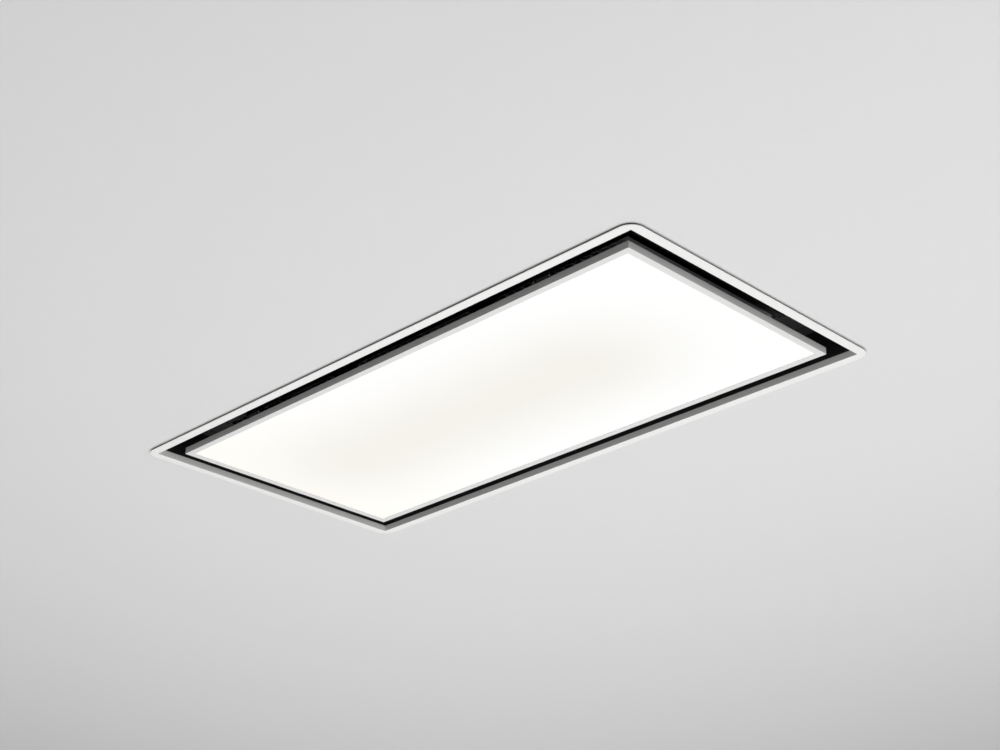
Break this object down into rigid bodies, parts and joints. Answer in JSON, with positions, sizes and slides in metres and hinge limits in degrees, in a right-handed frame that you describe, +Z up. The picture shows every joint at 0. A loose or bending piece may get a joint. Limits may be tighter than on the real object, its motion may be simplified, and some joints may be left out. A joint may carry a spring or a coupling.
{
  "type": "ceiling range hood",
  "caption": "Flush ceiling hood: flat lit panel in a slim white frame with an edge suction slot, hinged for grease filters, with a centrifugal blower and flapped duct collar above.",
  "frame": {"origin": "centre of the flush lower face, level with the lip and the light panel's rim", "axes": "+Z up through the ceiling, +X along the long side towards the duct collar, +Y towards the side where the panel is pulled down"},
  "size_m": [1, 0.5, 0.3],
  "materials": {
    "white_paint": "satin white powder coat",
    "foam": "closed-cell dark grey foam strip",
    "galvanised": "galvanised sheet with a fine spangle",
    "black_paint": "satin black powder coat",
    "aluminium": "black anodised aluminium profile",
    "filter_mesh": "layered expanded aluminium mesh",
    "grey_plastic": "moulded mid-grey plastic",
    "black_plastic": "moulded black plastic",
    "steel": "bright drawn steel",
    "zinc_plate": "bright zinc plate",
    "rubber": "black rubber",
    "magnet_grey": "dark grey plastic-coated magnet",
    "opal": "lit opal diffuser",
    "acrylic": "clear light guide",
    "board_green": "green circuit board",
    "board_white": "white board and moulded driver case"
  },
  "bodies": {
    "housing": {"ceiling_frame": "white_paint", "ceiling_gasket": "foam", "housing_wrap": "galvanised", "housing_end_right": "galvanised", "housing_end_left": "galvanised", "channel_skirt_front": "black_paint", "channel_skirt_back": "black_paint", "channel_skirt_left": "black_paint", "channel_skirt_right": "black_paint", "filter_deck": "black_paint", "inlet_cover": "grey_plastic", "scroll_housing": "grey_plastic", "motor": "steel", "motor_plate": "zinc_plate", "motor_bush_1": "rubber", "motor_bush_2": "rubber", "motor_bush_3": "rubber", "motor_box": "galvanised", "outlet_collar": "black_plastic", "flap_spindle": "steel", "control_box": "galvanised", "control_box_lid": "galvanised", "control_board": "board_green", "led_driver": "board_white", "cable_gland": "black_plastic", "motor_lead": "rubber", "panel_lead": "rubber", "hanger_bracket_1": "zinc_plate", "hanger_bracket_2": "zinc_plate", "hanger_bracket_3": "zinc_plate", "hanger_bracket_4": "zinc_plate", "hinge_pin_left": "steel", "hinge_pin_right": "steel", "hinge_bracket_left": "black_paint", "hinge_bracket_right": "black_paint", "catch_magnet_left": "magnet_grey", "catch_magnet_right": "magnet_grey"},
    "light_panel": {"panel_frame": "white_paint", "panel_diffuser": "opal", "light_guide": "acrylic", "led_strip_front": "board_white", "led_strip_back": "board_white", "panel_back_tray": "black_paint", "lead_socket": "black_plastic", "hinge_leaf_left": "black_paint", "hinge_leaf_right": "black_paint", "catch_keeper_left": "zinc_plate", "catch_keeper_right": "zinc_plate"},
    "impeller": {"impeller": "black_plastic"},
    "flap_left": {"flap_left": "grey_plastic"},
    "flap_right": {"flap_right": "grey_plastic"},
    "grease_filter_1": {"filter_frame_1": "aluminium", "filter_mesh_1": "filter_mesh"},
    "filter_latch_1": {"filter_latch_1": "grey_plastic"},
    "grease_filter_2": {"filter_frame_2": "aluminium", "filter_mesh_2": "filter_mesh"},
    "filter_latch_2": {"filter_latch_2": "grey_plastic"},
    "grease_filter_3": {"filter_frame_3": "aluminium", "filter_mesh_3": "filter_mesh"},
    "filter_latch_3": {"filter_latch_3": "grey_plastic"}
  },
  "joints": [
    {"name": "panel_hinge", "type": "hinge", "parent": "housing", "child": "light_panel", "pos_m": [0, -0.194, 0.022], "axis": [-1, 0, 0], "range_deg": [0, 90]},
    {"name": "impeller_spin", "type": "hinge", "parent": "housing", "child": "impeller", "pos_m": [0.1, -0.045, 0.19], "axis": [0, 0, 1], "continuous": true},
    {"name": "flap_left_hinge", "type": "hinge", "parent": "housing", "child": "flap_left", "pos_m": [0.31885, 0.08889, 0.21515], "axis": [0, 0, 1], "range_deg": [0, 75], "stiffness_Nm_per_rad": 0.02, "springref_deg": -17.19},
    {"name": "flap_right_hinge", "type": "hinge", "parent": "housing", "child": "flap_right", "pos_m": [0.31885, 0.08889, 0.21515], "axis": [0, 0, -1], "range_deg": [0, 75], "stiffness_Nm_per_rad": 0.02, "springref_deg": -17.19},
    {"name": "filter_1_tilt", "type": "hinge", "parent": "housing", "child": "grease_filter_1", "pos_m": [-0.29, -0.1665, 0.06165], "axis": [-1, 0, 0], "range_deg": [0, 4.5]},
    {"name": "filter_1_latch", "type": "slide", "parent": "grease_filter_1", "child": "filter_latch_1", "axis": [0, -1, 0], "range_m": [0, 0.006], "stiffness_N_per_m": 300, "springref_m": -0.003},
    {"name": "filter_2_tilt", "type": "hinge", "parent": "housing", "child": "grease_filter_2", "pos_m": [0, -0.1665, 0.06165], "axis": [-1, 0, 0], "range_deg": [0, 4.5]},
    {"name": "filter_2_latch", "type": "slide", "parent": "grease_filter_2", "child": "filter_latch_2", "axis": [0, -1, 0], "range_m": [0, 0.006], "stiffness_N_per_m": 300, "springref_m": -0.003},
    {"name": "filter_3_tilt", "type": "hinge", "parent": "housing", "child": "grease_filter_3", "pos_m": [0.29, -0.1665, 0.06165], "axis": [-1, 0, 0], "range_deg": [0, 4.5]},
    {"name": "filter_3_latch", "type": "slide", "parent": "grease_filter_3", "child": "filter_latch_3", "axis": [0, -1, 0], "range_m": [0, 0.006], "stiffness_N_per_m": 300, "springref_m": -0.003}
  ]
}
